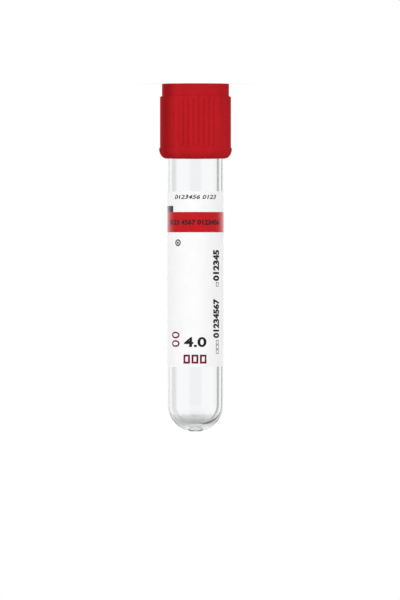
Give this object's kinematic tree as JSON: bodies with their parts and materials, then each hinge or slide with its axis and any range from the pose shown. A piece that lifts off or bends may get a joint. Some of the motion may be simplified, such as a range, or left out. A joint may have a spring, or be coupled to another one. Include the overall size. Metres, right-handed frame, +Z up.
{
  "type": "blood collection tube",
  "caption": "Clear round-based tube with a wrapped label, closed by a rubber stopper held in a ribbed red safety cap that pulls off along the tube's axis.",
  "frame": {"origin": "on the table, under the middle of the cap that the tube stands on", "axes": "+Z up, along the tube from its cap to its round base. The front of the label faces -Y."},
  "size_m": [0.0172, 0.0172, 0.0818],
  "materials": {
    "clear_tube": "clear polished PET",
    "red_cap": "satin moulded polypropylene",
    "grey_rubber": "matt bromobutyl rubber",
    "white_film": "satin white label film",
    "red_ink": "satin printing ink",
    "black_ink": "satin printing ink"
  },
  "bodies": {
    "closure": {"safety_cap": "red_cap", "stopper": "grey_rubber"},
    "tube": {"tube": "clear_tube", "label": "white_film", "label_red_band": "red_ink", "label_black_mark": "black_ink"}
  },
  "joints": [
    {"name": "tube_pull", "type": "slide", "parent": "closure", "child": "tube", "axis": [0, 0, 1], "range_m": [0, 0.022]}
  ]
}
